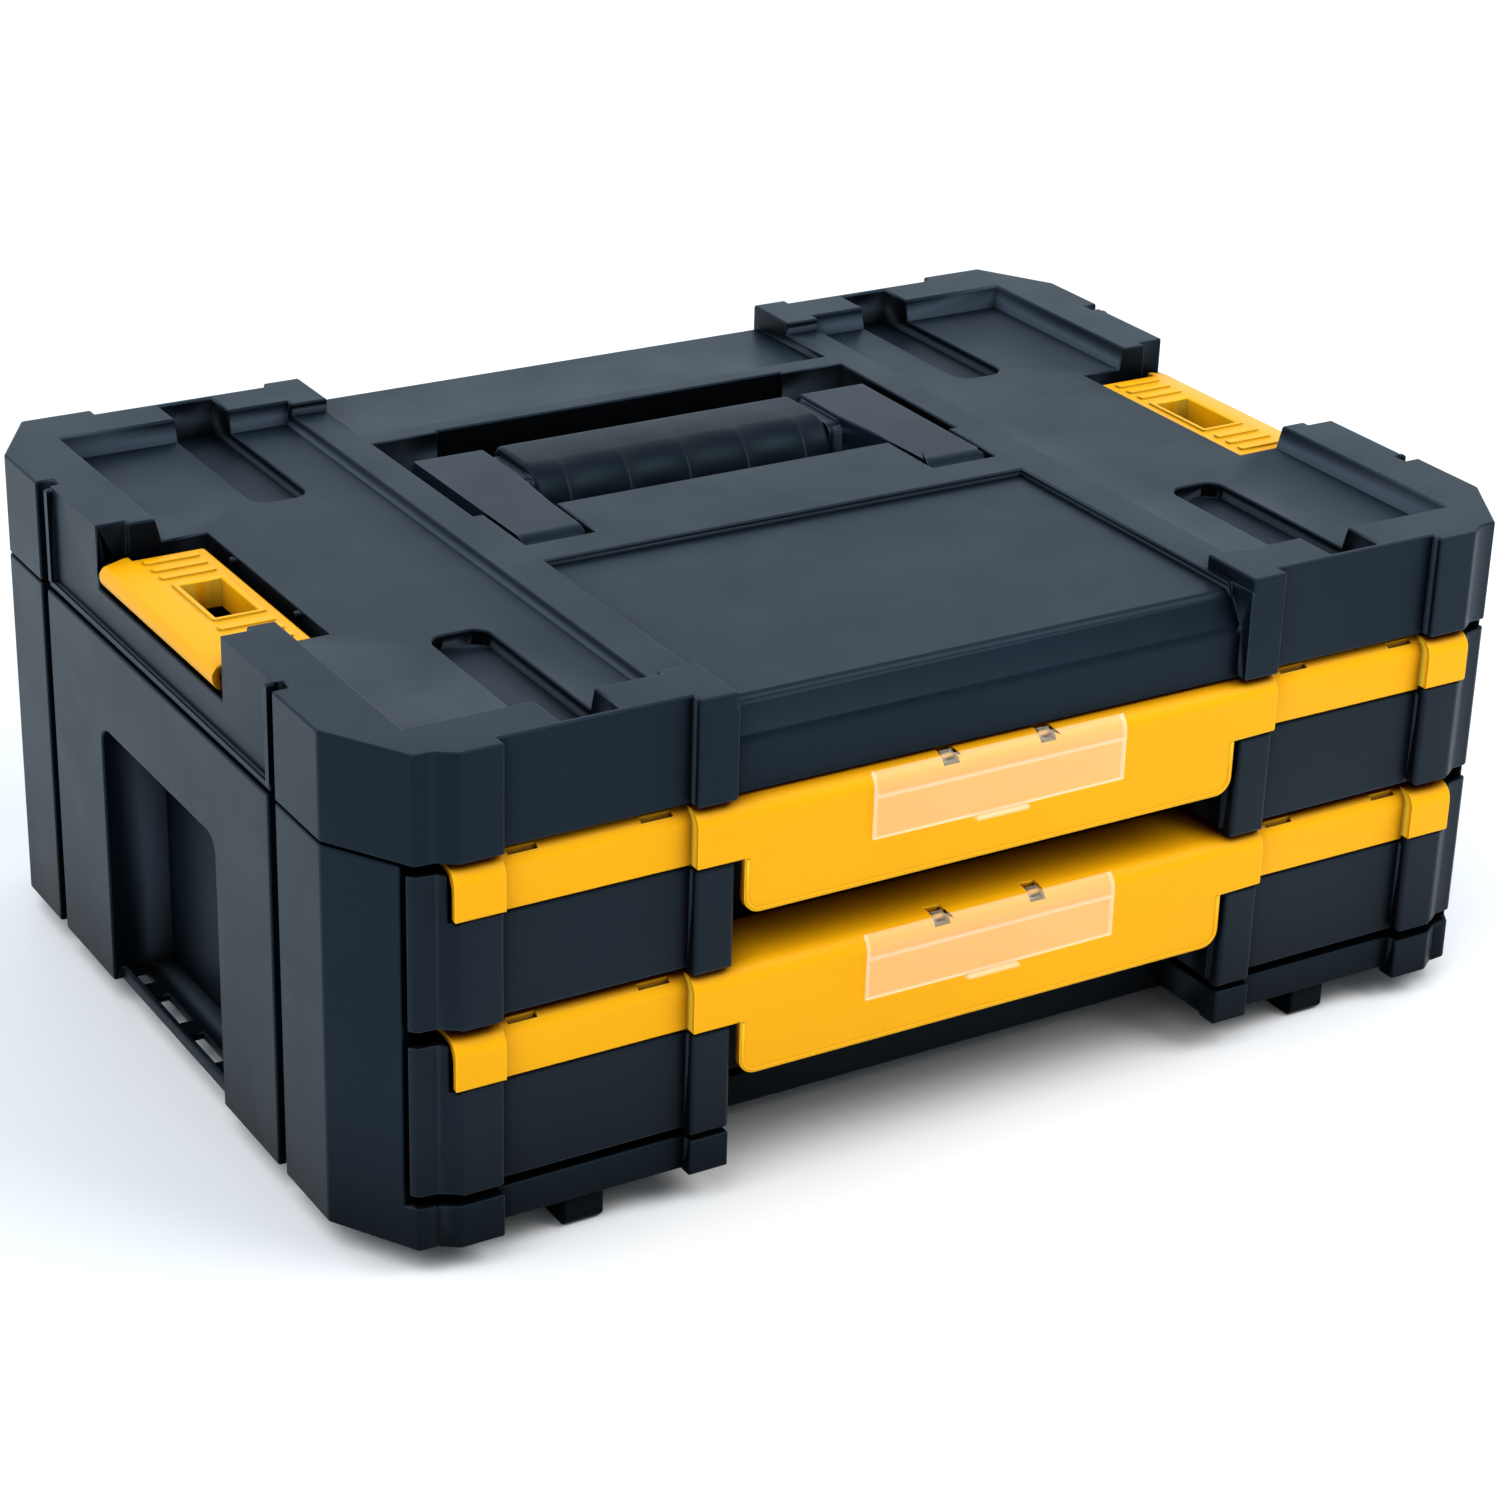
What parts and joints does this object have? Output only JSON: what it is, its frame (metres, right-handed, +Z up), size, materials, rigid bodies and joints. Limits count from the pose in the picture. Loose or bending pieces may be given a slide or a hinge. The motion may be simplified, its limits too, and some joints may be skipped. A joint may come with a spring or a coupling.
{
  "type": "stackable tool box with drawers",
  "caption": "Stackable moulded tool box with shallow drawers, a carry handle folded into the lid, yellow side latches and clear label windows.",
  "frame": {"origin": "on the floor under the middle of the case, halfway between its front and rear posts", "axes": "+X to the right seen from the drawers' side, +Y to the back, +Z up"},
  "size_m": [0.44, 0.322, 0.176],
  "materials": {
    "case_plastic": "fine moulded texture",
    "drawer_plastic": "fine moulded texture",
    "divider_plastic": "satin",
    "handle_plastic": "satin",
    "grip_rubber": "soft satin",
    "yellow_plastic": "semi gloss",
    "clear_plastic": "clear, lightly frosted",
    "plated_steel": "zinc plated",
    "slide_steel": "zinc plated",
    "cage_brass": "plain"
  },
  "bodies": {
    "case": {"lid": "case_plastic", "left_side": "case_plastic", "right_side": "case_plastic", "rear_wall": "case_plastic", "base_tray": "case_plastic", "case_screws": "plated_steel", "lid_screws": "plated_steel", "left_handle_pin": "plated_steel", "right_handle_pin": "plated_steel", "left_latch_pin": "plated_steel", "right_latch_pin": "plated_steel", "upper_left_channel": "slide_steel", "upper_right_channel": "slide_steel", "lower_left_channel": "slide_steel", "lower_right_channel": "slide_steel"},
    "handle": {"handle_bail": "handle_plastic", "handle_grip": "grip_rubber"},
    "left_latch": {"left_latch": "yellow_plastic"},
    "right_latch": {"right_latch": "yellow_plastic"},
    "upper_drawer": {"upper_tub": "drawer_plastic", "upper_front": "drawer_plastic", "upper_fascia": "yellow_plastic", "upper_left_divider": "divider_plastic", "upper_left_cross": "divider_plastic", "upper_left_slide": "slide_steel", "upper_right_divider": "divider_plastic", "upper_right_cross": "divider_plastic", "upper_right_slide": "slide_steel"},
    "upper_label": {"upper_label_window": "clear_plastic"},
    "upper_cages": {"upper_left_cage": "cage_brass", "upper_right_cage": "cage_brass"},
    "lower_drawer": {"lower_tub": "drawer_plastic", "lower_front": "drawer_plastic", "lower_fascia": "yellow_plastic", "lower_left_divider": "divider_plastic", "lower_left_cross": "divider_plastic", "lower_left_slide": "slide_steel", "lower_right_divider": "divider_plastic", "lower_right_cross": "divider_plastic", "lower_right_slide": "slide_steel"},
    "lower_label": {"lower_label_window": "clear_plastic"},
    "lower_cages": {"lower_left_cage": "cage_brass", "lower_right_cage": "cage_brass"}
  },
  "joints": [
    {"name": "handle_hinge", "type": "hinge", "parent": "case", "child": "handle", "pos_m": [0, -0.0055, 0.164], "axis": [1, 0, 0], "range_deg": [0, 95]},
    {"name": "left_latch_hinge", "type": "hinge", "parent": "case", "child": "left_latch", "pos_m": [-0.213, 0.002, 0.16], "axis": [0, -1, 0], "range_deg": [0, 100]},
    {"name": "right_latch_hinge", "type": "hinge", "parent": "case", "child": "right_latch", "pos_m": [0.213, 0.002, 0.16], "axis": [0, 1, 0], "range_deg": [0, 100]},
    {"name": "upper_drawer_slide", "type": "slide", "parent": "case", "child": "upper_drawer", "axis": [0, -1, 0], "range_m": [0, 0.19]},
    {"name": "upper_cage_slide", "type": "slide", "parent": "case", "child": "upper_cages", "axis": [0, -1, 0], "range_m": [0, 0.095]},
    {"name": "upper_label_hinge", "type": "hinge", "parent": "upper_drawer", "child": "upper_label", "pos_m": [0, -0.1549, 0.1363], "axis": [-1, 0, 0], "range_deg": [0, 55]},
    {"name": "lower_drawer_slide", "type": "slide", "parent": "case", "child": "lower_drawer", "axis": [0, -1, 0], "range_m": [0, 0.19]},
    {"name": "lower_cage_slide", "type": "slide", "parent": "case", "child": "lower_cages", "axis": [0, -1, 0], "range_m": [0, 0.095]},
    {"name": "lower_label_hinge", "type": "hinge", "parent": "lower_drawer", "child": "lower_label", "pos_m": [0, -0.1549, 0.0793], "axis": [-1, 0, 0], "range_deg": [0, 55]}
  ],
  "couplings": [
    {"joint": "upper_cage_slide", "follows": "upper_drawer_slide", "ratio": 0.5},
    {"joint": "lower_cage_slide", "follows": "lower_drawer_slide", "ratio": 0.5}
  ]
}
